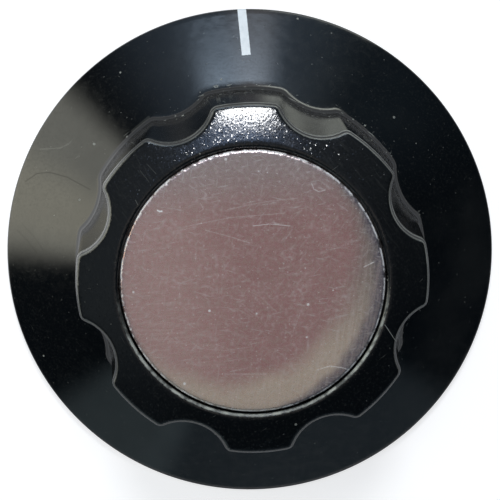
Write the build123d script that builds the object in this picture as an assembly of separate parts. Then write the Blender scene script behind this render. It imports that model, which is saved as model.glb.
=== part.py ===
from build123d import *

import os
from math import atan, cos, degrees, hypot, radians, sin, sqrt, tan

# A round, skirted control knob for a quarter-inch shaft. Z runs up the shaft's axis from the
# flat underside of the skirt, and the index line lies towards +Y. Lengths are in millimetres.

# ---- skirt
skirt_radius = 19.05
skirt_edge_height = 1.1        # upright edge below the cone
skirt_edge_bevel = 0.15
skirt_slope = 36.5             # degrees, the cone's rise above level
skirt_wall = 1.8               # square to the cone

# ---- fluted barrel
barrel_base_radius = 13.05     # over the lobes, where they meet the skirt
barrel_rim_radius = 12.75      # over the lobes, at the crown's rim
crown_height = 16.4            # of the crown where it meets the inlay's seat
crown_radius = 39.0            # the crown is part of a ball this large
lobe_count = 8
flute_rim_depth = 1.54         # below the lobes' circle
flute_base_depth = 0.5
flute_rim_radius = 3.2         # of the hollow itself, square to its floor
flute_base_radius = 6.0
lobe_corner_bevel = 0.45
rim_bevel = 0.25
barrel_root = 1.0              # how far its walls run on down inside the skirt
barrel_wall = 1.9              # between a flute's floor and the core

# ---- aluminium inlay
crown_land = 1.41              # between the inlay's seat and the flutes' floors at the rim
inlay_thickness = 0.8
inlay_edge_bevel = 0.08
inlay_side_gap = 0.3
inlay_set_back = 0.05          # of the disc's face below the crown's edge
seat_edge_bevel = 0.1
adhesive_thickness = 0.1
adhesive_margin = 0.35         # from the disc's edge to the adhesive's

# ---- index line
index_width = 0.74
index_length = 3.27            # in plan, inwards from the skirt's edge
index_depth = 0.25
index_skew = 3.9               # degrees off the radius through its middle
index_offset = -0.7            # degrees round from the middle of its lobe

# ---- brass bushing
shaft_radius = 3.175
shaft_clearance = 0.025
bushing_radius = 5.5
bushing_length = 10.6
bushing_proud = 0.3            # below the hub's face
bushing_mouth_bevel = 0.4
bushing_end_bevel = 0.3
knurl_count = 14
knurl_depth = 0.35
grip_groove_width = 1.4
grip_groove_depth = 0.7
grip_groove_height = 3.2       # of its middle above the bushing's lower face

# ---- hub, ribs and boss inside the core
hub_recess = 2.5               # from the skirt's underside up to the hub's face
hub_wall = 1.5
hub_draft = 1.0                # degrees
rib_count = 4
rib_width = 1.5
boss_width = 6.4               # round the set screw's hole
ceiling_thickness = 2.0        # under the inlay's seat

# ---- set screw
screw_radius = 1.753
screw_length = 6.35
screw_height = 9.0
screw_thread_clearance = 0.04
screw_body_clearance = 0.3
screw_tip_gap = 0.2            # between the screw's tip and the shaft's bore
screw_cup_radius = 1.0
screw_cup_depth = 0.45
screw_bevel = 0.3
screw_slot_width = 0.7
screw_slot_depth = 0.9

# ---- worked out from the above
FROM_BELOW = (Align.CENTER, Align.CENTER, Align.MIN)
lobe_pitch = 360 / lobe_count
slope_rise = tan(radians(skirt_slope))
barrel_base_height = skirt_edge_height + (skirt_radius - barrel_base_radius) * slope_rise
seat_radius = barrel_rim_radius - flute_rim_depth - crown_land
inlay_radius = seat_radius - inlay_side_gap
crown_centre = crown_height - sqrt(crown_radius**2 - seat_radius**2)
crown_top = crown_centre + crown_radius
rim_height = crown_centre + sqrt(crown_radius**2 - barrel_rim_radius**2)
seat_height = crown_height - inlay_set_back - inlay_thickness - adhesive_thickness
ceiling_height = seat_height - ceiling_thickness
bore_radius = shaft_radius + shaft_clearance
bushing_bottom = hub_recess - bushing_proud
bushing_top = bushing_bottom + bushing_length
hub_radius = bushing_radius + hub_wall
screw_start = bore_radius + screw_tip_gap


def on_circle(radius, degrees_round, height=0):
    turn = radians(degrees_round)
    return (radius * cos(turn), radius * sin(turn), height)


def up_the_barrel(base_value, rim_value, height):
    """A size that changes evenly from the barrel's base to its rim."""
    share = (height - barrel_base_height) / (rim_height - barrel_base_height)
    return base_value + share * (rim_value - base_value)


def flute_floor_radius(height):
    base_floor = barrel_base_radius - flute_base_depth
    rim_floor = barrel_rim_radius - flute_rim_depth
    return up_the_barrel(base_floor, rim_floor, height)


def flute_cutter():
    """A cone that leans out from its point above the rim, with a flute's floor along one side."""
    rise = rim_height - barrel_base_height
    run = flute_floor_radius(barrel_base_height) - flute_floor_radius(rim_height)
    widening = (flute_base_radius - flute_rim_radius) / hypot(rise, run)
    rim_to_point = flute_rim_radius / widening
    floor_lean = atan(run / rise)
    point_height = rim_height + rim_to_point * cos(floor_lean)
    point_radius = flute_floor_radius(rim_height) - rim_to_point * sin(floor_lean)
    cone = Cone(point_height * widening, 0, point_height, align=(Align.CENTER, Align.CENTER, Align.MAX))
    lean = degrees(floor_lean + atan(widening))
    return Pos(point_radius, 0, point_height) * Rot(0, -lean, 0) * cone


def barrel_walls():
    """Deep flutes at the rim that grow shallow towards the skirt, and bevelled lobe corners."""
    root = barrel_base_height - barrel_root
    root_radius = up_the_barrel(barrel_base_radius, barrel_rim_radius, root)
    top_radius = up_the_barrel(barrel_base_radius, barrel_rim_radius, crown_top)
    blank = Cone(root_radius, top_radius, crown_top - root, align=FROM_BELOW)
    walls = Pos(0, 0, root) * blank
    for index in range(lobe_count):
        walls -= Rot(0, 0, (index + 0.5) * lobe_pitch) * flute_cutter()
    upright = walls.edges().filter_by_position(Axis.Z, barrel_base_height, rim_height)
    corners = upright.filter_by(GeomType.LINE, reverse=True)
    return chamfer(corners, lobe_corner_bevel)


def crown():
    """The ball that caps the barrel, cut off at the foot of the knob."""
    ball = Pos(0, 0, crown_centre) * Sphere(crown_radius)
    return ball & Cylinder(skirt_radius, crown_top, align=FROM_BELOW)


def fluted_barrel():
    """The barrel under its domed crown, with its rim bevelled."""
    barrel = barrel_walls() & crown()
    rim = barrel.edges().filter_by_position(Axis.Z, rim_height - rim_bevel, crown_height)
    return chamfer(rim, rim_bevel)


def skirt_section(top_height):
    """Half the skirt's section up to a height inside the barrel, with its edge bevelled."""
    top_radius = skirt_radius - (top_height - skirt_edge_height) / slope_rise
    corners = [
        (0, 0),
        (skirt_radius, 0),
        (skirt_radius, skirt_edge_height),
        (top_radius, top_height),
        (0, top_height),
    ]
    section = make_face(Polyline(*corners, close=True))
    edge_corner = section.vertices().sort_by_distance((skirt_radius, skirt_edge_height))[0]
    return chamfer(edge_corner, skirt_edge_bevel)


def skirt_cone():
    top_height = skirt_edge_height + (skirt_radius - seat_radius) * slope_rise
    return revolve(Plane.XZ * skirt_section(top_height), Axis.Z)


# ---- the underside
def core_radius(height):
    return flute_floor_radius(height) - barrel_wall


def core():
    """The hollow under the skirt and inside the barrel, round a central hub."""
    inner_foot = skirt_radius + (skirt_edge_height - skirt_wall / cos(radians(skirt_slope))) / slope_rise
    wall_lean = (core_radius(ceiling_height) - core_radius(0)) / ceiling_height
    meeting_height = (inner_foot - core_radius(0)) / (wall_lean + 1 / slope_rise)
    hub_top_radius = hub_radius + (ceiling_height - hub_recess) * tan(radians(hub_draft))
    corners = [
        (0, 0),
        (inner_foot, 0),
        (core_radius(meeting_height), meeting_height),
        (core_radius(ceiling_height), ceiling_height),
        (hub_top_radius, ceiling_height),
        (hub_radius, hub_recess),
        (0, hub_recess),
    ]
    return revolve(Plane.XZ * make_face(Polyline(*corners, close=True)), Axis.Z)


def spoke(width):
    """A wall from the axis outwards along +X, from the hub's face up to the ceiling."""
    outwards = (Align.MIN, Align.CENTER, Align.MIN)
    return Pos(0, 0, hub_recess) * Box(skirt_radius, width, ceiling_height, align=outwards)


def rib(index):
    return Rot(0, 0, (index + 0.5) * 360 / rib_count) * spoke(rib_width)


def screw_boss():
    return Rot(0, 0, -90) * spoke(boss_width)


# ---- brass bushing
def turned_bar():
    """A round bar with bevelled ends and a groove that the moulding grips."""
    groove_low = bushing_bottom + grip_groove_height - grip_groove_width / 2
    groove_high = groove_low + grip_groove_width
    groove_floor = bushing_radius - grip_groove_depth
    corners = [
        (0, bushing_bottom),
        (bushing_radius - bushing_end_bevel, bushing_bottom),
        (bushing_radius, bushing_bottom + bushing_end_bevel),
        (bushing_radius, groove_low),
        (groove_floor, groove_low),
        (groove_floor, groove_high),
        (bushing_radius, groove_high),
        (bushing_radius, bushing_top - bushing_end_bevel),
        (bushing_radius - bushing_end_bevel, bushing_top),
        (0, bushing_top),
    ]
    return revolve(Plane.XZ * make_face(Polyline(*corners, close=True)), Axis.Z)


def knurled_bar():
    """A bar with straight V-shaped teeth, as long as the bushing."""
    corners = []
    for index in range(2 * knurl_count):
        radius = bushing_radius - knurl_depth * (index % 2)
        corners.append(on_circle(radius, index * 180 / knurl_count)[:2])
    outline = make_face(Polyline(*corners, close=True))
    return Pos(0, 0, bushing_bottom) * extrude(outline, bushing_length)


def bushing_blank():
    """The bushing before it is bored: the space that it takes in the moulding."""
    return knurled_bar() & turned_bar()


def shaft_bore():
    mouth = Cone(bore_radius + bushing_mouth_bevel, bore_radius, bushing_mouth_bevel, align=FROM_BELOW)
    return Pos(0, 0, bushing_bottom) * (mouth + Cylinder(bore_radius, bushing_length, align=FROM_BELOW))


def cross_hole(radius):
    """Along -Y at the set screw's height, from the axis out through the barrel."""
    return Pos(0, 0, screw_height) * Rot(90, 0, 0) * Cylinder(radius, skirt_radius, align=FROM_BELOW)


def brass_bushing():
    tapped_hole = cross_hole(screw_radius + screw_thread_clearance)
    return bushing_blank() - shaft_bore() - tapped_hole


# ---- set screw
def set_screw():
    """A headless screw with a cup point, slotted at its outer end. Its thread is left plain."""
    corners = [
        (0, screw_cup_depth),
        (screw_cup_radius, 0),
        (screw_radius - screw_bevel, 0),
        (screw_radius, screw_bevel),
        (screw_radius, screw_length - screw_bevel),
        (screw_radius - screw_bevel, screw_length),
        (0, screw_length),
    ]
    shank = revolve(Plane.XZ * make_face(Polyline(*corners, close=True)), Axis.Z)
    slot_bottom = screw_length - screw_slot_depth
    slot = Pos(0, 0, slot_bottom) * Box(
        2 * screw_radius, screw_slot_width, screw_slot_depth, align=FROM_BELOW
    )
    return Pos(0, -screw_start, screw_height) * Rot(90, 0, 0) * (shank - slot)


# ---- inlay
def inlay_seat():
    return Pos(0, 0, seat_height) * Cylinder(seat_radius, crown_top, align=FROM_BELOW)


def inlay_adhesive():
    radius = inlay_radius - adhesive_margin
    return Pos(0, 0, seat_height) * Cylinder(radius, adhesive_thickness, align=FROM_BELOW)


def inlay_disc():
    disc = Pos(0, 0, seat_height + adhesive_thickness) * Cylinder(
        inlay_radius, inlay_thickness, align=FROM_BELOW
    )
    return chamfer(disc.edges().group_by(Axis.Z)[-1], inlay_edge_bevel)


# ---- index line
def index_line():
    """White filling in a groove that follows the cone and runs out through its edge."""
    overrun = skirt_edge_height
    strip = Pos(0, overrun / 2, 0) * Box(
        index_width, index_length + overrun, crown_height, align=FROM_BELOW
    )
    middle_radius = skirt_radius - index_length / 2
    placed = Rot(0, 0, index_offset) * Pos(0, middle_radius, 0) * Rot(0, 0, index_skew) * strip
    floor_foot = skirt_radius + (skirt_edge_height - index_depth) / slope_rise
    under_floor = Cone(floor_foot, 0, floor_foot * slope_rise, align=FROM_BELOW)
    return placed & skirt_cone() - under_floor


# ---- the moulding
def outer_form():
    """The moulding before it is cored. One lobe is centred on +X, along the seams of its round
    faces, and is then turned to the index line at +Y."""
    form = fluted_barrel() + skirt_cone() - inlay_seat()
    seat_edge = form.edges().filter_by_position(
        Axis.Z, crown_height - seat_edge_bevel, crown_height + seat_edge_bevel
    )
    return Rot(0, 0, 90) * chamfer(seat_edge, seat_edge_bevel)


def knob_body():
    body = outer_form()
    hollow = core() - screw_boss()
    for index in range(rib_count):
        hollow -= rib(index)
    body -= hollow
    body -= bushing_blank()
    body -= cross_hole(screw_radius + screw_body_clearance)
    return body - index_line()


os.makedirs("parts", exist_ok=True)
for make_piece in (knob_body, inlay_disc, inlay_adhesive, index_line, brass_bushing, set_screw):
    export_step(make_piece(), f"parts/{make_piece.__name__}.step")
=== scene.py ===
import math

import bmesh
import bpy
from mathutils import Matrix, Vector

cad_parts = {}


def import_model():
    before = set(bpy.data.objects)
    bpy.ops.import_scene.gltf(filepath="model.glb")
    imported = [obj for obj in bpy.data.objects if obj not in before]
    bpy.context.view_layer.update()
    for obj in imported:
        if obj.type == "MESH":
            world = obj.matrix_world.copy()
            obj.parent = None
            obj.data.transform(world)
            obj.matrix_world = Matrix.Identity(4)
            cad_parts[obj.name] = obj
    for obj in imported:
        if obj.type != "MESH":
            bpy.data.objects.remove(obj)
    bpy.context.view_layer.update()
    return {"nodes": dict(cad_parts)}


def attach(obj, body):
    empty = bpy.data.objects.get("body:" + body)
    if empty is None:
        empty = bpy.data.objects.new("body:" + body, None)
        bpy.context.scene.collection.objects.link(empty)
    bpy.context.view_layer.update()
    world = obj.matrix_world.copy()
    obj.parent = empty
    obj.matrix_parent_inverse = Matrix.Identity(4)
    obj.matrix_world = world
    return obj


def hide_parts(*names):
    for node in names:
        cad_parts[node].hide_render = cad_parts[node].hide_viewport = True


MM = 0.001
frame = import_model()


# ---- the moulding's outer skin, in millimetres until it is scaled
SKIRT_RADIUS = 19.045
SKIRT_EDGE = 1.1
SLOPE_ANGLE = math.radians(36.5)
SLOPE = math.tan(SLOPE_ANGLE)
WALL = 1.8
INNER_FOOT = SKIRT_RADIUS + (SKIRT_EDGE - WALL / math.cos(SLOPE_ANGLE)) / SLOPE
BASE_RADIUS = 13.05
RIM_RADIUS = 12.75
SEAT_RADIUS = 9.8
LIP_RADIUS = 9.62
CROWN_RADIUS = 39.0
CROWN_HEIGHT = 16.4
CROWN_CENTRE = CROWN_HEIGHT - math.sqrt(CROWN_RADIUS**2 - SEAT_RADIUS**2)
LOBES = 8
INDEX_SIDE = math.radians(90)
# A flute's depth and the radius of its hollow, at the crown's rim and where the wall meets the cone.
RIM_FLUTE = (1.54, 3.2)
FOOT_FLUTE = (0.7, 5.2)
# Radii of the rounds.
CORNER_ROUND = 0.68
RIM_ROUND = 0.5
FOOT_ROUND = 1.2
EDGE_ROUND = 0.25
LIP_ROUND = 0.24
UNDER_ROUND = 0.06
# How far beside a corner the crown's and the cone's directions are taken.
BESIDE_CROWN = 0.8
BESIDE_CONE = 0.47
# How far under the crown's height the skin starts on the seat's wall, and its lip stands upright.
SEAT_WALL_DROP = 0.4
LIP_DROP = 0.3
# The height of the set screw's hole, which goes through the wall towards -Y, and its radius.
SCREW_HEIGHT = 9.0
SCREW_RADIUS = 2.053

# Steps in half a flute, a corner and half a lobe, then in each stretch of a line of the skin.
FLUTE_STEPS = 10
CORNER_STEPS = 8
LOBE_STEPS = 8
LIP_STEPS = 4
CROWN_STEPS = 12
RIM_STEPS = 12
WALL_STEPS = 36
FOOT_STEPS = 10
SKIRT_STEPS = 20
EDGE_STEPS = 5
UNDER_STEPS = 3
# The skin's rings of points are numbered from the inlay's seat outwards.
LIP_START = 2
RIM_START = LIP_START + LIP_STEPS + CROWN_STEPS
WALL_START = RIM_START + RIM_STEPS
FOOT_START = WALL_START + WALL_STEPS
FOOT_END = FOOT_START + FOOT_STEPS
# Edges that turn by more than this are shaded sharp.
SHARP_ANGLE = math.radians(32)


def rings(start, *shares):
    """How strongly a mark shows on each ring of points from start on."""
    return {start + i: share for i, share in enumerate(shares)}


# Rings of the rim rounds that get the pale colour: scuffing, and a painted highlight for their bright lines.
RIM_WEAR_AND_HIGHLIGHT_RINGS = rings(RIM_START + 4, 0.4, 0.9, 0.3) | rings(WALL_START - 1, 0.7, 1, 0.9, 0.2)
DUSTY_RINGS = dict.fromkeys(range(FOOT_START - 7, FOOT_END + 1), 1)
# Rings of the seat's lip that get a painted highlight.
LIP_HIGHLIGHT_RINGS = rings(LIP_START + 2, 0.8, 1)


def crown_z(x, y):
    return CROWN_CENTRE + math.sqrt(CROWN_RADIUS**2 - x * x - y * y)


def cone_z(x, y):
    return SKIRT_EDGE + (SKIRT_RADIUS - math.hypot(x, y)) * SLOPE


def on_crown(plan):
    return Vector((plan.x, plan.y, crown_z(*plan)))


def on_cone(plan):
    return Vector((plan.x, plan.y, cone_z(*plan)))


def facing(turn):
    return Vector((math.cos(turn), math.sin(turn)))


def outline(radius, depth, hollow):
    """The lobes' outline as points with outward normals: flute, corner, lobe, corner, eight times."""
    pitch = 2 * math.pi / LOBES
    axis = radius - depth + hollow
    reach = radius - CORNER_ROUND
    corner_turn = math.acos((reach**2 + axis**2 - (hollow + CORNER_ROUND) ** 2) / (2 * reach * axis))
    points = []
    for index in range(LOBES):
        start = INDEX_SIDE + (index + 0.5) * pitch
        points += one_lobe(radius, axis, hollow, reach, corner_turn, start, pitch)
    return points


def one_lobe(radius, axis, hollow, reach, corner_turn, start, pitch):
    """From the middle of the flute at start, anticlockwise, up to the next flute's middle."""
    flute = Vector((axis, 0))
    corner = facing(corner_turn) * reach
    away = (corner - flute).normalized()
    flute_sweep = math.pi - math.atan2(away.y, away.x)
    corner_start = math.atan2(-away.y, -away.x)
    half = []
    for step in range(FLUTE_STEPS):
        direction = facing(math.pi - flute_sweep * step / FLUTE_STEPS)
        half.append((flute + direction * hollow, -direction))
    for step in range(CORNER_STEPS):
        direction = facing(corner_start + (corner_turn - corner_start) * step / CORNER_STEPS)
        half.append((corner + direction * CORNER_ROUND, direction))
    for step in range(LOBE_STEPS):
        direction = facing(corner_turn + (pitch / 2 - corner_turn) * step / LOBE_STEPS)
        half.append((direction * radius, direction))
    middle = facing(pitch / 2)
    whole = half + [(middle * radius, middle)]
    mirror = Matrix(((math.cos(pitch), math.sin(pitch)), (math.sin(pitch), -math.cos(pitch))))
    whole += [(mirror @ point, mirror @ normal) for point, normal in reversed(half[1:])]
    turn = Matrix(((math.cos(start), -math.sin(start)), (math.sin(start), math.cos(start))))
    return [(turn @ point, turn @ normal) for point, normal in whole]


def rounded(before, corner, after, radius, steps):
    """Points on the arc that rounds a corner between the directions to two other points."""
    back = (before - corner).normalized()
    on = (after - corner).normalized()
    inner = back.angle(on)
    reach = radius / math.tan(inner / 2)
    weight = math.sin(inner / 2)
    first, last = corner + back * reach, corner + on * reach
    points = []
    for step in range(steps + 1):
        u = step / steps
        of_first, of_corner, of_last = (1 - u) ** 2, 2 * weight * u * (1 - u), u * u
        total = of_first + of_corner + of_last
        points.append((first * of_first + corner * of_corner + last * of_last) / total)
    return points


def between(start, end, steps, put):
    """The points of a stretch without its two ends, each one put on a face."""
    return [put(start.lerp(end, step / steps)) for step in range(1, steps)]


def profile(rim, rim_normal, foot, foot_normal):
    """One line of the skin from the inlay's seat, over the rim and out to the core's mouth."""
    outward = rim.normalized()
    top, inside = on_crown(rim), on_crown(rim - rim_normal * BESIDE_CROWN)
    base, outside = on_cone(foot), on_cone(foot + foot_normal * BESIDE_CONE)
    seat_plan, wall_plan = outward * LIP_RADIUS, outward * SEAT_RADIUS
    wall = Vector((wall_plan.x, wall_plan.y, CROWN_HEIGHT - SEAT_WALL_DROP))
    seat = Vector((seat_plan.x, seat_plan.y, CROWN_HEIGHT))
    seat_down = seat - Vector((0, 0, 1))
    seat_out = on_crown(outward * (LIP_RADIUS + BESIDE_CROWN))
    line = [wall, seat - Vector((0, 0, LIP_DROP))]
    line += rounded(seat_down, seat, seat_out, LIP_ROUND, LIP_STEPS)
    rim_arc = rounded(inside, top, base, RIM_ROUND, RIM_STEPS)
    line += between(line[-1].xy, rim_arc[0].xy, CROWN_STEPS, on_crown)
    line += rim_arc
    foot_arc = rounded(top, base, outside, FOOT_ROUND, FOOT_STEPS)
    foot_arc[-1] = on_cone(foot_arc[-1].xy)
    line += between(rim_arc[-1], foot_arc[0], WALL_STEPS, Vector)
    line += foot_arc
    direction = foot_arc[-1].xy.normalized()

    def out_at(radius, height):
        return Vector((direction.x * radius, direction.y * radius, height))

    edge = out_at(SKIRT_RADIUS, SKIRT_EDGE)
    upper = out_at(SKIRT_RADIUS - 1, SKIRT_EDGE + SLOPE)
    lower, mouth = out_at(SKIRT_RADIUS, 0), out_at(INNER_FOOT, 0)
    edge_arc = rounded(upper, edge, lower, EDGE_ROUND, EDGE_STEPS)
    line += between(foot_arc[-1].xy, edge_arc[0].xy, SKIRT_STEPS, on_cone)
    line += edge_arc
    line += rounded(edge, lower, mouth, UNDER_ROUND, UNDER_STEPS)
    line.append(mouth)
    return line


def new_object(name, mesh):
    made = bpy.data.objects.new(name, mesh)
    bpy.context.scene.collection.objects.link(made)
    return made


def mesh_key(point):
    """A point's place to a micron, by which its marks find it again after the hole is cut."""
    return tuple(round(value, 3) for value in point)


def skin_solid():
    """The skin closed by a lid and a floor, so that the screw's hole can be cut through it."""
    rims = outline(RIM_RADIUS, *RIM_FLUTE)
    feet = outline(BASE_RADIUS, *FOOT_FLUTE)
    lines = [profile(*rim, *foot) for rim, foot in zip(rims, feet)]
    across, down = len(lines), len(lines[0])
    verts = [point for line in lines for point in line]
    faces = []
    for i in range(across):
        for j in range(down - 1):
            a, b = i * down + j, (i + 1) % across * down + j
            faces.append((a, a + 1, b + 1, b))
    faces.append([i * down for i in range(across)])
    faces.append([i * down + down - 1 for i in reversed(range(across))])
    mesh = bpy.data.meshes.new("skin")
    mesh.from_pydata(verts, [], faces)
    layers = [{mesh_key(line[j]): share for line in lines for j, share in marked.items()}
              for marked in (RIM_WEAR_AND_HIGHLIGHT_RINGS, DUSTY_RINGS, LIP_HIGHLIGHT_RINGS)]
    return mesh, layers


def cut_screw_hole(mesh):
    """The skin with a drill's cylinder taken out of it, from well outside to inside the wall."""
    drill_length, drill_middle = 10, -14
    drill = bmesh.new()
    bmesh.ops.create_cone(drill, cap_ends=True, segments=72, radius1=SCREW_RADIUS, radius2=SCREW_RADIUS,
                          depth=drill_length)
    place = Matrix.Translation((0, drill_middle, SCREW_HEIGHT)) @ Matrix.Rotation(math.pi / 2, 4, "X")
    bmesh.ops.transform(drill, matrix=place, verts=drill.verts)
    drill_mesh = bpy.data.meshes.new("hole_tool")
    drill.to_mesh(drill_mesh)
    drill.free()
    solid, cutter = new_object("solid", mesh), new_object("cutter", drill_mesh)
    cut = solid.modifiers.new("hole", "BOOLEAN")
    cut.solver = "EXACT"
    cut.object = cutter
    shown = solid.evaluated_get(bpy.context.evaluated_depsgraph_get())
    result = bpy.data.meshes.new_from_object(shown)
    bpy.data.objects.remove(solid)
    bpy.data.objects.remove(cutter)
    return result


def from_screw_axis(centre):
    return math.hypot(centre.x, centre.z - SCREW_HEIGHT)


def only_helps(face):
    """True for the skin's lid and floor, and for what the drill left inside the hole."""
    most_corners, drilled_side, slack, nearby = 100, -5, 0.002, 0.02
    if len(face.verts) > most_corners:
        return True
    centre = face.calc_center_median()
    if centre.y >= drilled_side:
        return False
    off_axis = from_screw_axis(centre)
    along_hole = abs(off_axis - SCREW_RADIUS) < nearby and abs(face.normal.y) < 0.2
    return off_axis < SCREW_RADIUS - slack or along_hole


def on_outer_skin(centre, normal):
    """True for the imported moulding's outside, which the finer skin stands in for."""
    foot_floor, rim_floor, foot_height, barrel_height = 12.55, 11.21, 5.54, 9.97
    barrel_start, crown_start, side_radius, slack = 5.2, 15.2, 18.9, 0.03
    into_wall, into_skirt = 0.9, 0.6
    radius = math.hypot(centre.x, centre.y)
    in_hole = from_screw_axis(centre) < SCREW_RADIUS + slack and centre.y < 0
    if in_hole and abs(normal.y) < 0.3:
        return False
    flute_floor = foot_floor - (foot_floor - rim_floor) * (centre.z - foot_height) / barrel_height
    if centre.z > crown_start:
        return radius > min(flute_floor, SEAT_RADIUS + slack)
    if centre.z > barrel_start:
        return radius > flute_floor - into_wall
    underneath = radius > INNER_FOOT - 0.02 and centre.z < 0.01
    return radius > side_radius or underneath or centre.z > cone_z(*centre.xy) - into_skirt


def shade(mesh):
    mesh.polygons.foreach_set("use_smooth", [True] * len(mesh.polygons))
    mesh.set_sharp_from_angle(angle=SHARP_ANGLE)


def moulding():
    """The knob's moulding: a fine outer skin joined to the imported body's underside."""
    skin = bmesh.new()
    solid, layers = skin_solid()
    skin.from_mesh(cut_screw_hole(solid))
    bmesh.ops.delete(skin, geom=[f for f in skin.faces if only_helps(f)], context="FACES")
    packed = bmesh.new()
    packed.from_mesh(frame["nodes"]["knob_body"].data)
    bmesh.ops.scale(packed, vec=(1 / MM, 1 / MM, 1 / MM), verts=packed.verts)
    packed.normal_update()
    outside = [f for f in packed.faces if on_outer_skin(f.calc_center_median(), f.normal)]
    bmesh.ops.delete(packed, geom=outside, context="FACES")
    under = bpy.data.meshes.new("underside")
    packed.to_mesh(under)
    packed.free()
    skin.from_mesh(under)
    bmesh.ops.scale(skin, vec=(MM, MM, MM), verts=skin.verts)
    mesh = bpy.data.meshes.new("moulding")
    skin.to_mesh(mesh)
    skin.free()
    keys = [mesh_key(vert.co / MM) for vert in mesh.vertices]
    for name, points in zip(("wear_and_highlight", "dusty", "lip"), layers):
        layer = mesh.attributes.new(name, "FLOAT", "POINT")
        layer.data.foreach_set("value", [points.get(key, 0.0) for key in keys])
    shade(mesh)
    shell = new_object("moulding", mesh)
    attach(shell, "root")
    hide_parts("knob_body")
    return shell


def finish_piece(bm, name, stands_for):
    """An object for a mesh in millimetres, which rides on the body in place of a CAD node."""
    bmesh.ops.scale(bm, vec=(MM, MM, MM), verts=bm.verts)
    mesh = bpy.data.meshes.new(name)
    bmesh.ops.recalc_face_normals(bm, faces=bm.faces)
    bm.to_mesh(mesh)
    bm.free()
    shade(mesh)
    made = new_object(name, mesh)
    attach(made, "root")
    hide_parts(stands_for)
    return made


# ---- the index line's paint, in millimetres
def skirt_edge(arc_steps, side_steps=4, lowest=0.03):
    """Radius and height of points on the skirt's rounded edge and down its upright side."""
    edge = Vector((SKIRT_RADIUS, SKIRT_EDGE))
    arc = rounded(edge + Vector((-1, SLOPE)), edge, Vector((SKIRT_RADIUS, 0)), EDGE_ROUND, arc_steps)
    shares = [step / side_steps for step in range(1, side_steps + 1)]
    return arc + [Vector((SKIRT_RADIUS, arc[-1].y * (1 - share) + lowest * share)) for share in shares]


def index_strip():
    """The white filling, a hair proud of the cone, run over the skirt's edge and down its side."""
    half, length, inner_reach = 0.335, 3.27, 1.785
    lift, swell, most_proud = 0.006, 0.008, 0.003
    round_knob, round_itself = math.radians(-0.7), math.radians(3.9)
    across, along, arc_steps = 8, 36, 6
    place = (Matrix.Rotation(round_knob, 4, "Z") @ Matrix.Translation((0, SKIRT_RADIUS - length / 2, 0))
             @ Matrix.Rotation(round_itself, 4, "Z"))
    over = skirt_edge(arc_steps)
    edge_radius = over[0].x
    bm = bmesh.new()
    rows = [[] for _ in range(along + 1 + len(over))]
    for i in range(across + 1):
        side = -half + 2 * half * i / across
        crown = swell * (1 - (side / half) ** 2)
        for j in range(along + 1):
            ragged = 0.012 * math.sin(2.3 * i) if j == 0 else 0
            wobble = 1 + 0.018 * math.sin(1.9 * j) * (abs(side) / half)
            outward = -inner_reach + ragged + (length / 2 + inner_reach) * j / along
            point = place @ Vector((side * wobble, outward, 0))
            radius = math.hypot(point.x, point.y)
            if radius > edge_radius:
                point *= (edge_radius - 0.001 * (along - j)) / radius
            point.z = cone_z(point.x, point.y) + lift + crown
            rows[j].append(bm.verts.new(point))
        way = Vector((point.x, point.y, 0)).normalized()
        for j, (radius, height) in enumerate(over):
            reach = min(radius + lift, SKIRT_RADIUS + most_proud)
            raised = lift if j < arc_steps - 1 else 0
            rows[along + 1 + j].append(bm.verts.new((way.x * reach, way.y * reach, height + raised)))
    for lower, upper in zip(rows, rows[1:]):
        for i in range(across):
            bm.faces.new((lower[i], lower[i + 1], upper[i + 1], upper[i]))
    return finish_piece(bm, "index_paint", "index_line")


# ---- the inlay, in millimetres
DISC_RADIUS = 9.5
DISC_TOP = 16.35
DISC_THICKNESS = 0.8
# Its rings of points start this far from the middle, which one flat face fills.
DISC_MIDDLE = 0.4
# The rolled edge's width, its depth as a share of that, and the side where it is chipped most.
DISC_ROLL = 0.24
ROLL_DEPTH = 0.8
CHIPPED_SIDE = math.radians(135)


def chipped(turn):
    """Between about -1 and 1 round the disc's edge, without a visible repeat."""
    waves = ((37, 0.4), (61, 2.1), (97, 4.4), (143, 1.3), (211, 5.0))
    return sum(math.sin(count * turn + phase) for count, phase in waves) / 3


def face_fall(radius):
    """How far the disc's face has fallen at a radius: nothing inside, then more and more."""
    level_radius, outer_radius, deepest = 6.5, 9.5, 0.05
    return deepest * max(0, (radius - level_radius) / (outer_radius - level_radius)) ** 2


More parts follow.
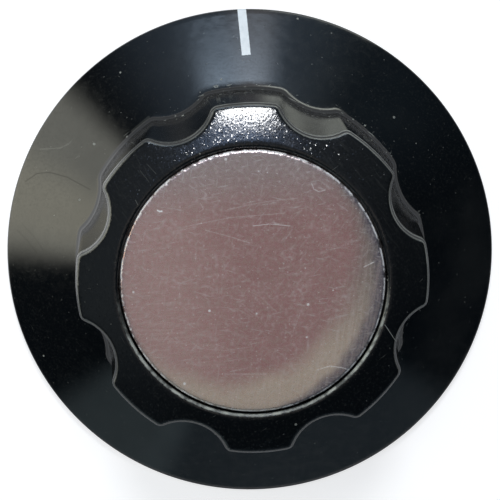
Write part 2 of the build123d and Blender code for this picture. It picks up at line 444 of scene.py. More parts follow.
def disc_piece():
    """The aluminium disc: a rolled, chipped edge and a face that falls away a little towards it."""
    around, face_steps, roll_steps = 720, 26, 6
    back_bevel = (0.05, 0.06)
    face_width = DISC_RADIUS - 2 * DISC_ROLL - DISC_MIDDLE
    face = [DISC_MIDDLE + face_width * i / face_steps for i in range(face_steps + 1)]
    bm = bmesh.new()
    layer = bm.verts.layers.float.new("edge")
    lines = []
    for k in range(around):
        turn = 2 * math.pi * k / around
        raggedness = 0.12 + 0.3 * max(0, math.cos(turn - CHIPPED_SIDE))
        reach = DISC_ROLL * (1 + raggedness * chipped(turn))
        line = [(r, face_fall(r)) for r in face]
        start = DISC_RADIUS - reach
        for step in range(roll_steps + 1):
            a = math.radians(90 * step / roll_steps)
            down = DISC_ROLL * ROLL_DEPTH * (1 - math.cos(a))
            line.append((start + reach * math.sin(a), face_fall(start) + down))
        line.append((DISC_RADIUS, DISC_THICKNESS - back_bevel[1]))
        line.append((DISC_RADIUS - back_bevel[0], DISC_THICKNESS))
        line.append((DISC_MIDDLE, DISC_THICKNESS))
        lines.append([bm.verts.new((r * math.cos(turn), r * math.sin(turn), DISC_TOP - drop))
                      for r, drop in line])
    # The rolled edge's rings, whose near-white paint is partly scuffs and partly a painted highlight.
    bright = rings(len(face) + 2, 0.5, 1, 1, 1, 0.6)
    for line in lines:
        for j, share in bright.items():
            line[j][layer] = share
    for k in range(around):
        here, on = lines[k], lines[(k + 1) % around]
        for j in range(len(here) - 1):
            bm.faces.new((here[j], here[j + 1], on[j + 1], on[j]))
    bm.faces.new([line[0] for line in lines])
    bm.faces.new([line[-1] for line in reversed(lines)])
    return finish_piece(bm, "inlay", "inlay_disc")


# ---- shader helpers
def new_material(name):
    material = bpy.data.materials.new(name)
    material.use_nodes = True
    tree = material.node_tree
    tree.nodes.clear()
    output = tree.nodes.new("ShaderNodeOutputMaterial")
    shader = tree.nodes.new("ShaderNodeBsdfPrincipled")
    tree.links.new(shader.outputs[0], output.inputs[0])
    return material, tree, shader


def node(tree, kind, inputs=None, **settings):
    """A node with its settings made and each input linked or set."""
    made = tree.nodes.new(kind)
    for key, value in settings.items():
        setattr(made, key, value)
    for key, value in (inputs or {}).items():
        if isinstance(value, bpy.types.NodeSocket):
            tree.links.new(value, made.inputs[key])
        else:
            made.inputs[key].default_value = value
    return made


def math_node(tree, operation, *values, **settings):
    inputs = dict(enumerate(values))
    return node(tree, "ShaderNodeMath", inputs, operation=operation, **settings).outputs[0]


def vector_node(tree, operation, *values):
    made = node(tree, "ShaderNodeVectorMath", dict(enumerate(values)), operation=operation)
    return made.outputs["Value" if operation in ("LENGTH", "DISTANCE", "DOT_PRODUCT") else "Vector"]


def scaled(tree, vector, factor):
    """A vector times a number."""
    return node(tree, "ShaderNodeVectorMath", {0: vector, "Scale": factor}, operation="SCALE").outputs[0]


def times(tree, first, second):
    return math_node(tree, "MULTIPLY", first, second)


def times_plus(tree, value, factor, offset):
    return math_node(tree, "MULTIPLY_ADD", value, factor, offset)


def most(tree, *values):
    """The highest of several values."""
    highest = values[0]
    for value in values[1:]:
        highest = math_node(tree, "MAXIMUM", highest, value)
    return highest


def smooth(tree, value, start, end):
    """0 before start and 1 after end, smoothly; start may be above end."""
    flip = start > end
    low, high = (end, start) if flip else (start, end)
    made = node(tree, "ShaderNodeMapRange", {"Value": value, "From Min": low, "From Max": high},
                interpolation_type="SMOOTHSTEP")
    if flip:
        made.inputs["To Min"].default_value = 1
        made.inputs["To Max"].default_value = 0
    return made.outputs[0]


def straight(tree, value, start, end, low, high):
    """low before start and high after end, in a straight line between."""
    return node(tree, "ShaderNodeMapRange", {0: value, 1: start, 2: end, 3: low, 4: high}).outputs[0]


def blend_colour(tree, amount, first, second):
    made = node(tree, "ShaderNodeMix", data_type="RGBA")
    for socket, value in ((0, amount), (6, first), (7, second)):
        if isinstance(value, bpy.types.NodeSocket):
            tree.links.new(value, made.inputs[socket])
        else:
            made.inputs[socket].default_value = value if socket == 0 else (*value, 1)
    return made.outputs[2]


def object_place(tree):
    return node(tree, "ShaderNodeTexCoord").outputs["Object"]


def attribute(tree, name):
    return node(tree, "ShaderNodeAttribute", attribute_name=name).outputs["Fac"]


def noise(tree, place, per_metre, detail=2.0, roughness=0.5, distortion=0.0):
    inputs = {"Vector": place, "Scale": per_metre, "Detail": detail, "Roughness": roughness,
              "Distortion": distortion}
    return node(tree, "ShaderNodeTexNoise", inputs).outputs[0]


def bump(tree, height, strength, distance, normal=None):
    """The normal of a surface with a relief that is so many metres high, on an earlier normal."""
    inputs = {"Height": height, "Strength": strength, "Distance": distance}
    if normal is not None:
        inputs["Normal"] = normal
    return node(tree, "ShaderNodeBump", inputs).outputs[0]


# ---- patterns: specks, scratches and drawn marks
def specks(tree, place, per_metre, size, share, seed=0.0, dimensions="3D"):
    """Round dots of a size in metres, one in some of the cells of a grid of random points."""
    shifted = vector_node(tree, "ADD", place, (seed, seed * 0.7, seed * 1.3))
    cells = node(tree, "ShaderNodeTexVoronoi", {"Vector": shifted, "Scale": per_metre, "Randomness": 1.0},
                 voronoi_dimensions=dimensions)
    tone = node(tree, "ShaderNodeSeparateColor", {0: cells.outputs["Color"]}).outputs
    reach = times(tree, tone[1], size * per_metre)
    near = math_node(tree, "LESS_THAN", cells.outputs["Distance"], reach)
    kept = math_node(tree, "LESS_THAN", tone[0], share)
    return times(tree, near, kept)


def scratches(tree, place, angle, across, along, low, high, seed=0.0):
    """Fine lines at an angle: noise that is stretched along it."""
    turned = node(tree, "ShaderNodeMapping", {"Vector": place, "Rotation": (0, 0, math.radians(angle)),
                                              "Scale": (1 / along, 1 / across, 1 / across)},
                  vector_type="TEXTURE")
    streaks = node(tree, "ShaderNodeTexNoise", {"Vector": turned.outputs[0], "Scale": 1.0, "Detail": 2.0,
                                                "Roughness": 0.6, "Distortion": 0.4, "W": seed},
                   noise_dimensions="4D")
    return smooth(tree, streaks.outputs[0], low, high)


def near_line(tree, flat, start, end, width):
    """1 on a straight scratch between two points, in millimetres, seen from above."""
    along = Vector((end[0] - start[0], end[1] - start[1], 0)) * MM
    first = (start[0] * MM, start[1] * MM, 0)
    away = vector_node(tree, "SUBTRACT", flat, first)
    dot = vector_node(tree, "DOT_PRODUCT", away, along)
    share = math_node(tree, "MULTIPLY", dot, 1 / along.length_squared, use_clamp=True)
    gap = vector_node(tree, "DISTANCE", away, scaled(tree, along, share))
    return smooth(tree, gap, width * MM, width * 0.4 * MM)


def draw_lines(tree, flat, marks):
    """The strongest of a list of marks, each a strength, a half width and points in millimetres."""
    drawn = None
    for strength, width, *points in marks:
        for start, end in zip(points, points[1:]):
            line = times(tree, near_line(tree, flat, start, end, width), strength)
            drawn = line if drawn is None else most(tree, drawn, line)
    return drawn


# Each mark is a strength, then a half width and the points of a line seen from above, both in
# millimetres. These are the rubs, scratches and dusty marks on the plastic, and one painted highlight.
PLASTIC_MARKS = [
    (0.09, 0.07, (-15.94, 8.9), (-14.34, 9.01), (-13.59, 9.36), (-13.36, 9.59)),
    (0.8, 0.13, (-11.62, 9.34), (-11.58, 9.33)),
    # A painted highlight: the light streak along the foot of the upper left flute.
    (0.035, 0.14, (-8.6, 10.3), (-7.92, 10.82), (-7.3, 11.3)),
    (0.07, 0.04, (-8.05, 9.5), (-7.64, 8.66)),
    (0.14, 0.045, (-7.2, 8.75), (-6.57, 8.05)),
    (0.07, 0.04, (-7.7, 8.3), (-7.1, 7.5)),
    (0.12, 0.04, (-8.12, 6.24), (-7.97, 5.91)),
    (0.35, 0.035, (9.36, -3.52), (10.07, -4.7), (10.79, -5.52)),
    (0.3, 0.03, (12.9, -2.6), (12.6, -3.6), (12.9, -4.5)),
]
# Hairs on the skirt, which mirror less than the plastic does.
DARK_HAIRS = [
    (0.6, 0.055, (-17.25, 6.42), (-16.27, 7.06), (-15.24, 7.17), (-13.84, 6.85), (-12.84, 6.37),
     (-12.02, 5.97)),
    (0.4, 0.07, (-18.08, 2.66), (-17.3, 1.9), (-16.53, 0.95)),
    (0.35, 0.06, (-17.6, 3.1), (-16.7, 2.2), (-16.0, 1.2)),
]
# Deep scratches in the disc and the lint that lies on it.
DISC_MARKS = [
    (0.8, 0.03, (0.17, 4.04), (1.39, 4.13), (2.81, 3.93)),
    (0.65, 0.036, (4.36, -6.6), (5.3, -6.34), (6.23, -6.53), (6.95, -6.78)),
    (0.75, 0.05, (7.99, 0.75), (8.72, 1.08)),
    (1.0, 0.085, (-6.58, 5.44), (-6.45, 5.36), (-6.28, 5.36)),
    (0.55, 0.05, (4.47, 6.9), (4.6, 6.5), (4.95, 6.3), (5.4, 6.4)),
    (0.35, 0.04, (-3.26, 3.89), (-1.7, 3.4), (-0.09, 2.82)),
    (0.3, 0.035, (-4.6, 4.2), (-1.5, 4.7), (2.49, 4.87)),
    (0.3, 0.035, (-1.58, 5.3), (1.2, 5.75), (3.4, 5.9)),
    (0.3, 0.04, (-2.27, -6.61), (0.75, -6.73)),
    (0.3, 0.04, (-3.4, 6.75), (-3.0, 6.4), (-3.4, 6.1)),
    (0.3, 0.04, (-3.5, 5.8), (-3.3, 5.4), (-3.6, 5.2)),
    (0.22, 0.035, (-4.4, -4.6), (-2.2, -4.9), (-0.4, -4.7)),
    (0.25, 0.035, (2.6, -4.1), (3.3, -2.4)),
    (0.2, 0.035, (-1.2, -1.2), (0.3, -2.6)),
    (0.2, 0.035, (0.4, -1.0), (1.6, -2.2)),
]


# ---- materials
def sparkle(tree, place, face):
    """The crown's normal with tiny cells that lean a little, and a few that lean enough to glint."""
    cells_per_metre, rarity, steepest, least = 13500, 5.5, 0.36, 0.012
    cells = node(tree, "ShaderNodeTexVoronoi", {"Vector": place, "Scale": cells_per_metre,
                                                "Randomness": 1.0}).outputs
    chance = node(tree, "ShaderNodeTexWhiteNoise", {"Vector": cells["Position"]}).outputs["Value"]
    tilt = times_plus(tree, math_node(tree, "POWER", chance, rarity), steepest, least)
    aside = vector_node(tree, "SUBTRACT", cells["Color"], (0.5, 0.5, 0.5))
    upright = node(tree, "ShaderNodeNewGeometry").outputs["Normal"]
    turned = vector_node(tree, "ADD", upright, scaled(tree, aside, times(tree, tilt, face)))
    return vector_node(tree, "NORMALIZE", turned)


def plastic():
    """Black gloss plastic: a glinting crown, scuffed rims, dusty specks, rubs and hairs lying on it, and
    painted highlights on the rims, the lip and a flute's foot.
    """
    material, tree, shader = new_material("black_moulding")
    black, dust_and_highlight_colour = (0.0016, 0.0017, 0.0019), (0.62, 0.63, 0.55)
    place = object_place(tree)
    parts = node(tree, "ShaderNodeSeparateXYZ", {0: place}).outputs
    flat = vector_node(tree, "MULTIPLY", place, (1, 1, 0))
    face = smooth(tree, parts[2], 15.15 * MM, 15.5 * MM)
    grain = noise(tree, place, 5200, 1.5, 0.6)
    fine = noise(tree, place, 1500)
    patchy = noise(tree, place, 230, 3)
    wavy = noise(tree, place, 160, 1)
    hazy = noise(tree, place, 90, 4, 0.6)
    grained = bump(tree, grain, times_plus(tree, face, 0.85, 0.15), 0.005 * MM, sparkle(tree, place, face))
    tree.links.new(bump(tree, wavy, 0.5, 0.01 * MM, grained), shader.inputs["Normal"])

    film = times(tree, smooth(tree, hazy, 0.5, 0.75), 0.012)
    sprinkle = times(tree, smooth(tree, grain, 0.52, 0.75), 0.014)
    dots = most(tree, times(tree, specks(tree, place, 1150, 0.11 * MM, 0.16), 0.32),
                times(tree, specks(tree, place, 600, 0.12 * MM, 0.1, 0.3), 0.6),
                times(tree, specks(tree, place, 2300, 0.06 * MM, 0.4, 0.9), 0.1))
    rubs = times(tree, scratches(tree, place, 35, 5000, 260, 0.7, 0.76), 0.10)
    nicks = times(tree, scratches(tree, place, 118, 4200, 200, 0.72, 0.78, 3.0), 0.12)
    drawn = times(tree, draw_lines(tree, flat, PLASTIC_MARKS), smooth(tree, patchy, 0.3, 0.5))
    # Scuffing and a painted highlight on the rim rounds, stronger towards +Y where the light falls.
    rim_wear_and_highlight = times(tree, attribute(tree, "wear_and_highlight"), straight(tree, patchy, 0.35, 0.7, 0.12, 0.5))
    rim_wear_and_highlight = times(tree, rim_wear_and_highlight, straight(tree, parts[1], -8 * MM, 0, 0.35, 1))
    # A painted highlight on the lip round, on its -Y side only.
    lip = times(tree, attribute(tree, "lip"), smooth(tree, parts[1], 0, -5 * MM))
    lip = times(tree, lip, straight(tree, fine, 0.4, 0.6, 0.18, 0.75))
    drift = times(tree, attribute(tree, "dusty"), smooth(tree, hazy, 0.42, 0.6))
    lint = most(tree, times(tree, specks(tree, place, 2100, 0.12 * MM, 0.35, 1.7), 0.5),
                times(tree, scratches(tree, place, 25, 4200, 700, 0.64, 0.72, 6.0), 0.35),
                times(tree, scratches(tree, place, -40, 4200, 700, 0.64, 0.72, 8.0), 0.35))
    wiped = most(tree, scratches(tree, place, -55, 6500, 420, 0.5, 0.72, 4.0),
                 times(tree, scratches(tree, place, 12, 6500, 500, 0.54, 0.74, 12.0), 0.7),
                 times(tree, grain, 0.35))
    upper = smooth(tree, parts[1], -6 * MM, 8 * MM)
    wiped = times(tree, times(tree, wiped, face), times(tree, upper, 0.022))
    # How much pale colour: specks, rubs, lint and scuffs, and painted highlights on the rims, the lip and a
    # flute's foot.
    dust_and_highlights = most(tree, sprinkle, dots, rubs, nicks, film, rim_wear_and_highlight, lip, times(tree, drift, lint), drawn, wiped)
    tree.links.new(blend_colour(tree, dust_and_highlights, black, dust_and_highlight_colour), shader.inputs["Base Color"])

    rough = times_plus(tree, smooth(tree, fine, 0.35, 0.7), 0.05, 0.10)
    tree.links.new(times_plus(tree, dust_and_highlights, 1.2, rough), shader.inputs["Roughness"])
    dull = most(tree, draw_lines(tree, flat, DARK_HAIRS), times(tree, smooth(tree, hazy, 0.55, 0.35), 0.25),
                times(tree, smooth(tree, grain, 0.44, 0.66), 0.22))
    tree.links.new(times_plus(tree, dull, -0.34, 0.52), shader.inputs["Specular IOR Level"])
    shader.inputs["IOR"].default_value = 1.6
    return material


def aluminium():
    """Satin aluminium: brushed level on most of the face, steeply at its lower right, and scuffed; its rosy,
    pinker, greyer, tan and purple tones are painted reflections, and its rolled edge is partly a painted
    highlight.
    """
    material, tree, shader = new_material("spun_aluminium")
    rose_reflection, light_rose_reflection, pink_reflection = (0.53, 0.30, 0.285), (0.585, 0.335, 0.32), (0.79, 0.53, 0.485)
    grey_reflection, brown_reflection, sand_reflection, violet_reflection = (0.53, 0.46, 0.44), (0.3, 0.26, 0.23), (0.84, 0.70, 0.55), (0.18, 0.165, 0.21)
    olive, salmon, maroon = (0.56, 0.53, 0.42), (1.0, 0.8, 0.77), (0.46, 0.3, 0.28)
    brushed_tone, wear_and_highlight_white = (1.0, 0.84, 0.76), (1.0, 0.97, 0.93)
    place = object_place(tree)
    flat = vector_node(tree, "MULTIPLY", place, (1, 1, 0))
    parts = node(tree, "ShaderNodeSeparateXYZ", {0: flat}).outputs
    bend = noise(tree, flat, 260)

    def beyond(centre, inner, outer):
        """0 inside a circle and 1 outside a wider one, in millimetres, with a swaying border."""
        away = vector_node(tree, "DISTANCE", flat, (centre[0] * MM, centre[1] * MM, 0))
        sway = 1.6
        swayed = times_plus(tree, bend, sway * MM, away)
        return smooth(tree, swayed, (inner + sway / 2) * MM, (outer + sway / 2) * MM)

    # Masks for painted reflections: a tan crescent at the lower right, its purple border, a greyer top and a
    # pinker left; top and left also weigh scratches, brushing and specks.
    pale = beyond((-1.9, 2.3), 8.6, 10.6)
    dark = beyond((-2.3, 0.9), 10.5, 11.3)
    top = smooth(tree, parts[1], 4.0 * MM, 9.0 * MM)
    left = smooth(tree, parts[0], 1.0 * MM, -7.5 * MM)
    cloud = noise(tree, flat, 420, 5, 0.7)
    grain = noise(tree, flat, 3300, 3, 0.6)
    tint = noise(tree, flat, 4200, 1, distortion=1.0)
    ragged = noise(tree, flat, 1100, 3, 0.7)

    # Painted reflection: the metal's rosy tint, pinker at the left and greyer at the top.
    colour = blend_colour(tree, smooth(tree, cloud, 0.35, 0.68), rose_reflection, light_rose_reflection)
    colour = blend_colour(tree, times(tree, left, 0.6), colour, pink_reflection)
    colour = blend_colour(tree, times(tree, top, 0.75), colour, grey_reflection)
    # Painted reflection: a tan crescent, paler towards the bottom, with a purple border.
    lowest = smooth(tree, parts[1], 2.5 * MM, -6.5 * MM)
    beige_reflection = blend_colour(tree, lowest, brown_reflection, sand_reflection)
    colour = blend_colour(tree, times(tree, pale, 0.92), colour, beige_reflection)
    colour = blend_colour(tree, times(tree, dark, 0.85), colour, violet_reflection)
    for mask, strength, tone in ((smooth(tree, tint, 0.4, 0.65), 0.22, olive),
                                 (smooth(tree, grain, 0.5, 0.75), 0.34, salmon),
                                 (smooth(tree, grain, 0.5, 0.25), 0.34, maroon)):
        colour = blend_colour(tree, times(tree, mask, strength), colour, tone)

    level = scratches(tree, flat, 2, 6000, 380, 0.46, 0.68)
    steep = scratches(tree, flat, 80, 5200, 240, 0.44, 0.64, 2.0)
    hatch = times(tree, steep, pale)
    lower_left = times(tree, smooth(tree, parts[1], 3.0 * MM, -3.0 * MM), left)
    dragged = times(tree, level, times_plus(tree, lower_left, 0.7, 0.25))
    brushed = most(tree, dragged, hatch)
    colour = blend_colour(tree, times(tree, brushed, 0.2), colour, brushed_tone)

    fine = most(tree,
                times(tree, scratches(tree, flat, 9, 6500, 600, 0.6, 0.72, 1.0), 0.8),
                times(tree, scratches(tree, flat, 78, 6500, 650, 0.6, 0.72, 5.0), 0.5),
                times(tree, scratches(tree, flat, -14, 6000, 520, 0.62, 0.72, 11.0), 0.8),
                times(tree, scratches(tree, flat, 48, 6500, 650, 0.6, 0.72, 7.0), 0.55),
                times(tree, scratches(tree, flat, -35, 6500, 650, 0.6, 0.72, 9.0), 0.55))
    fine = times(tree, fine, times_plus(tree, top, 0.2, 0.42))
    broken = times_plus(tree, smooth(tree, grain, 0.3, 0.55), 0.5, 0.5)
    drawn = times(tree, draw_lines(tree, flat, DISC_MARKS), broken)
    upper = times_plus(tree, top, 0.8, 0.2)
    dots = most(tree, specks(tree, flat, 560, 0.1 * MM, 0.22, 0.0, "2D"),
                times(tree, specks(tree, flat, 1500, 0.07 * MM, 0.16, 0.4, "2D"), upper),
                times(tree, specks(tree, flat, 3200, 0.045 * MM, 0.2, 0.8, "2D"), 0.6))
    # The rolled edge painted near white and less metal: partly scuffs, partly a painted highlight.
    edge = times(tree, attribute(tree, "edge"), smooth(tree, ragged, 0.4, 0.56))
    haze = times(tree, times(tree, smooth(tree, cloud, 0.5, 0.75), smooth(tree, grain, 0.4, 0.6)), 0.2)
    wear_and_highlight = most(tree, fine, haze, times(tree, dots, 0.8), drawn, edge)
    colour = blend_colour(tree, wear_and_highlight, colour, wear_and_highlight_white)
    tree.links.new(colour, shader.inputs["Base Color"])

    loose_dirt_and_edge_highlight = most(tree, times(tree, dots, 0.5), times(tree, drawn, 0.8), times(tree, edge, 0.9))
    tree.links.new(times_plus(tree, loose_dirt_and_edge_highlight, -0.84, 0.84), shader.inputs["Metallic"])
    tree.links.new(times_plus(tree, grain, 0.16, 0.2), shader.inputs["Roughness"])
    ridges = most(tree, level, hatch, times(tree, grain, 0.8), fine)
    tree.links.new(bump(tree, ridges, 0.5, 0.002 * MM), shader.inputs["Normal"])
    shader.inputs["Specular Tint"].default_value = (0.4, 0.4, 0.4, 1)
    return material


def paint():
    """Matt white paint with a little dirt in it."""
    material, tree, shader = new_material("white_filling")
    clean, dirty = (0.87, 0.91, 0.92), (0.77, 0.82, 0.83)
    dirt = noise(tree, object_place(tree), 1800, 4, 0.65)
    colour = blend_colour(tree, smooth(tree, dirt, 0.42, 0.72), clean, dirty)
    tree.links.new(colour, shader.inputs["Base Color"])
    shader.inputs["Roughness"].default_value = 0.45
    tree.links.new(bump(tree, dirt, 0.4, 0.01 * MM), shader.inputs["Normal"])
    return material


def turned_brass():
    """Brass with turning lines round Z, and a little tarnish."""
    material, tree, shader = new_material("brass")
    bright, tarnished, cut = (0.78, 0.55, 0.24), (0.46, 0.3, 0.13), (0.92, 0.72, 0.4)
    place = object_place(tree)
    parts = node(tree, "ShaderNodeSeparateXYZ", {0: place}).outputs
    radius = vector_node(tree, "LENGTH", vector_node(tree, "MULTIPLY", place, (1, 1, 0)))
    turning = node(tree, "ShaderNodeCombineXYZ", {0: radius, 1: parts[2]}).outputs[0]
    lines = noise(tree, turning, 9000, 3)
    tarnish = noise(tree, place, 420, 5, 0.65)
    colour = blend_colour(tree, smooth(tree, tarnish, 0.42, 0.7), bright, tarnished)
    colour = blend_colour(tree, times(tree, smooth(tree, lines, 0.5, 0.75), 0.4), colour, cut)
    tree.links.new(colour, shader.inputs["Base Color"])
    shader.inputs["Metallic"].default_value = 1.0
    tree.links.new(times_plus(tree, tarnish, 0.35, 0.1), shader.inputs["Roughness"])
    tree.links.new(bump(tree, lines, 0.5, 0.005 * MM), shader.inputs["Normal"])
    return material


def black_steel():
    """Oil-blackened steel, rubbed bright in places."""
    material, tree, shader = new_material("screw_steel")
    oiled, greyed, rubbed = (0.06, 0.058, 0.062), (0.16, 0.15, 0.14), (0.45, 0.44, 0.43)
    place = object_place(tree)
    patches = noise(tree, place, 900, 5, 0.7)
    lines = scratches(tree, place, 20, 9000, 600, 0.6, 0.72)
    colour = blend_colour(tree, smooth(tree, patches, 0.45, 0.7), oiled, greyed)
    colour = blend_colour(tree, times(tree, lines, 0.6), colour, rubbed)
    tree.links.new(colour, shader.inputs["Base Color"])
    shader.inputs["Metallic"].default_value = 0.9
    tree.links.new(times_plus(tree, patches, 0.4, 0.18), shader.inputs["Roughness"])
    tree.links.new(bump(tree, patches, 0.4, 0.01 * MM), shader.inputs["Normal"])
    return material


def adhesive_film():
    """Dark dried adhesive with small bubbles and streaks; its darkness is also painted shade in the gap round
    the disc.
    """
    material, tree, shader = new_material("adhesive")
    thick, thin, bubbly = (0.03, 0.028, 0.025), (0.075, 0.065, 0.05), (0.16, 0.15, 0.13)
    place = object_place(tree)
    streaks = scratches(tree, place, 60, 2600, 500, 0.35, 0.7)
    bubbles = specks(tree, place, 1400, 0.22 * MM, 0.4)
    colour = blend_colour(tree, streaks, thick, thin)
    colour = blend_colour(tree, times(tree, bubbles, 0.5), colour, bubbly)
    tree.links.new(colour, shader.inputs["Base Color"])
    tree.links.new(times_plus(tree, streaks, 0.3, 0.35), shader.inputs["Roughness"])
    tree.links.new(bump(tree, most(tree, streaks, bubbles), 0.5, 0.02 * MM), shader.inputs["Normal"])
    return material


finishes = {
    "knob_body": plastic(),
    "inlay_disc": aluminium(),
    "inlay_adhesive": adhesive_film(),
    "index_line": paint(),
    "brass_bushing": turned_brass(),
    "set_screw": black_steel(),
}
makers = {"knob_body": moulding, "inlay_disc": disc_piece, "index_line": index_strip}
for name, finish in finishes.items():
    piece = makers[name]() if name in makers else frame["nodes"][name]
    piece.data.materials.clear()
    piece.data.materials.append(finish)


# ---- camera
def away_from_origin(azimuth, elevation):
    """A direction from its azimuth and elevation in degrees."""
    a, e = math.radians(azimuth), math.radians(elevation)
    return Vector((math.cos(e) * math.cos(a), math.cos(e) * math.sin(a), math.sin(e)))


def look_from(distance, tilt, azimuth, image_up):
    """A camera that looks at the origin, leaning off +Z, with a knob direction upright."""
    away = away_from_origin(azimuth, 90 - tilt)
    upright = facing(math.radians(image_up)).to_3d()
    up = (upright - away * upright.dot(away)).normalized()
    right = up.cross(away)
    turn = Matrix((right, up, away)).transposed().to_4x4()
    made = new_object("camera", bpy.data.cameras.new("camera"))
    made.matrix_world = Matrix.Translation(away * distance) @ turn
    return made


camera = look_from(171.45 * MM, 7.79, 93.35, 87.7)
camera.data.lens = 156.17
camera.data.sensor_width = 36
camera.data.shift_x = 0.0004
camera.data.shift_y = 0.0024
camera.data.clip_start = 0.005
bpy.context.scene.camera = camera


# ---- floor, lamp and world
def floor():
    """White to the camera; in the gloss, a painted shadow near the knob and a painted pool of light to one
    side; clear from below.
    """
    half, drop = 2.0, 0.02 * MM
    painted_shade_near, more_far, near_end, far_start = 0.15, 0.62, 0.03, 0.1
    painted_light_side, painted_light_strength, camera_white = (-0.956, 0.292, 0), 1.55, 0.74
    mesh = bpy.data.meshes.new("floor")
    corners = [(-half, -half, 0), (half, -half, 0), (half, half, 0), (-half, half, 0)]
    mesh.from_pydata(corners, [], [(0, 1, 2, 3)])
    plane = new_object("floor", mesh)
    plane.location.z = -drop
    material, tree, shader = new_material("floor_paint")
    shader.inputs["Base Color"].default_value = (0.55, 0.55, 0.55, 1)
    shader.inputs["Roughness"].default_value = 0.9
    shader.inputs["Specular IOR Level"].default_value = 0.0
    shader.inputs["Emission Color"].default_value = (1, 1, 1, 1)
    path = node(tree, "ShaderNodeLightPath").outputs
    place = object_place(tree)
    mirrored = most(tree, path["Is Glossy Ray"], path["Is Transmission Ray"])
    # Painted shadow and painted light, seen only where the knob mirrors the floor.
    far = smooth(tree, vector_node(tree, "LENGTH", place), near_end, far_start)
    toward = vector_node(tree, "DOT_PRODUCT", vector_node(tree, "NORMALIZE", place), painted_light_side)
    painted_light_pool = times(tree, smooth(tree, toward, 0.86, 0.96), painted_light_strength)
    brightness = math_node(tree, "ADD", times_plus(tree, far, more_far, painted_shade_near), painted_light_pool)
    seen = most(tree, path["Is Camera Ray"], times(tree, mirrored, brightness))
    tree.links.new(times(tree, seen, camera_white), shader.inputs["Emission Strength"])
    behind = node(tree, "ShaderNodeNewGeometry").outputs["Backfacing"]
    clear = node(tree, "ShaderNodeBsdfTransparent").outputs[0]
    mix = node(tree, "ShaderNodeMixShader", {0: behind, 1: shader.outputs[0], 2: clear})
    tree.links.new(mix.outputs[0], tree.nodes["Material Output"].inputs[0])
    mesh.materials.append(material)


def panel(name, azimuth, elevation, width, height, radiance, colour, distance=0.5):
    """A soft light of an angular size in degrees, that faces the knob from that direction."""
    lamp = bpy.data.lights.new(name, "AREA")
    lamp.shape = "RECTANGLE"
    lamp.size = 2 * distance * math.tan(math.radians(width / 2))
    lamp.size_y = 2 * distance * math.tan(math.radians(height / 2))
    lamp.energy = radiance * math.pi * lamp.size * lamp.size_y
    lamp.color = colour
    away = away_from_origin(azimuth, elevation)
    across = Vector((-math.sin(math.radians(azimuth)), math.cos(math.radians(azimuth)), 0))
    turn = Matrix((across, away.cross(across), away)).transposed().to_4x4()
    holder = new_object(name, lamp)
    holder.matrix_world = Matrix.Translation(away * distance) @ turn
    holder.visible_camera = False


# A card is a soft-edged pale area round the knob: its middle azimuth, half its even width, the
# width of its soft edge, the elevations where it starts, is full, is full to and ends, all in
# degrees, and its radiance.
CARDS = [
    (163, 17, 10, (-30, -20, 24, 34), (1.95, 1.95, 1.72)),
    (171, 3, 14, (-30, -20, 24, 34), (0.85, 0.76, 0.52)),
    (92, 6, 12, (18.8, 21.2, 24, 29), (4.0, 5.0, 6.2)),
    (86, 2, 8, (-20, -10, 24, 32), (0.58, 0.46, 0.38)),
    (68, 10, 8, (-4, -1, 8, 12.5), (4.1, 4.25, 3.8)),
    (93, 10, 34, (-20, -10, 24, 36), (0.31, 0.41, 0.54)),
    (236, 9, 9, (-20, -10, 20, 40), (0.25, 0.32, 0.34)),
    (281, 30, 9, (-20, -10, 20, 40), (0.115, 0.15, 0.175)),
    (55, 10, 40, (-20, -10, 30, 60), (0.04, 0.065, 0.088)),
]
# A glow is a round bright area: its middle's azimuth and elevation, its spread and its radiance.
GLOWS = [
    (93, 62, 9, (1.25, 1.8, 3.0)),
    (100, 66, 34, (0.21, 0.235, 0.275)),
    (270, 79.5, 11, (0.385, 0.34, 0.305)),
    (195, 50, 22, (0.12, 0.14, 0.15)),
]
ROOM = (0.016, 0.027, 0.039)


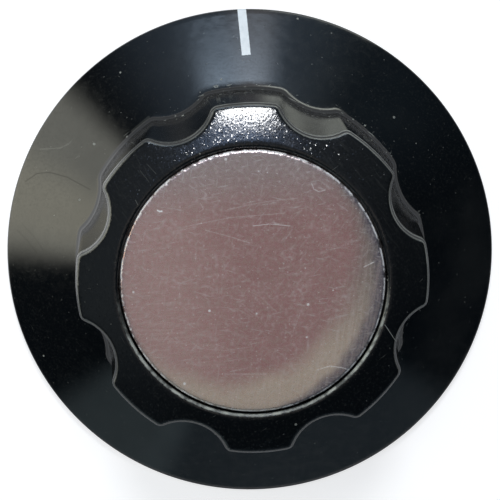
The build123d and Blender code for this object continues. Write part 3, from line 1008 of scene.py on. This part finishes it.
def world():
    """A dim room with the cards and glows round the knob, which the camera sees as plain white."""
    made = bpy.data.worlds.new("studio")
    bpy.context.scene.world = made
    made.use_nodes = True
    tree = made.node_tree
    tree.nodes.clear()
    output = tree.nodes.new("ShaderNodeOutputWorld")
    way = node(tree, "ShaderNodeTexCoord").outputs["Generated"]
    parts = node(tree, "ShaderNodeSeparateXYZ", {0: way}).outputs
    azimuth = times(tree, math_node(tree, "ARCTAN2", parts[1], parts[0]), math.degrees(1))
    elevation = times(tree, math_node(tree, "ARCSINE", parts[2]), math.degrees(1))
    total = node(tree, "ShaderNodeCombineXYZ", dict(enumerate(ROOM))).outputs[0]
    for middle, half, soft, (start, full, full_to, end), radiance in CARDS:
        off = math_node(tree, "SUBTRACT", azimuth, middle)
        aside = math_node(tree, "ABSOLUTE", math_node(tree, "WRAP", off, 180, -180))
        amount = times(tree, smooth(tree, aside, half + soft, half), smooth(tree, elevation, start, full))
        amount = times(tree, amount, smooth(tree, elevation, end, full_to))
        total = vector_node(tree, "ADD", total, scaled(tree, radiance, amount))
    for glow_azimuth, glow_elevation, spread, radiance in GLOWS:
        dot = vector_node(tree, "DOT_PRODUCT", way, away_from_origin(glow_azimuth, glow_elevation))
        short = math_node(tree, "SUBTRACT", dot, 1)
        amount = math_node(tree, "EXPONENT", times(tree, short, 2 / math.radians(spread) ** 2))
        total = vector_node(tree, "ADD", total, scaled(tree, radiance, amount))

    by_camera = node(tree, "ShaderNodeLightPath").outputs["Is Camera Ray"]
    studio = node(tree, "ShaderNodeBackground", {"Color": total, "Strength": 1.0}).outputs[0]
    white = node(tree, "ShaderNodeBackground", {"Color": (1, 1, 1, 1), "Strength": 1.0}).outputs[0]
    mix = node(tree, "ShaderNodeMixShader", {0: by_camera, 1: studio, 2: white})
    tree.links.new(mix.outputs[0], output.inputs[0])


floor()
world()
panel("window", 89, 54.9, 11.5, 8.8, 38, (1.0, 1.0, 1.0))

scene = bpy.context.scene
scene.view_settings.view_transform = "Standard"
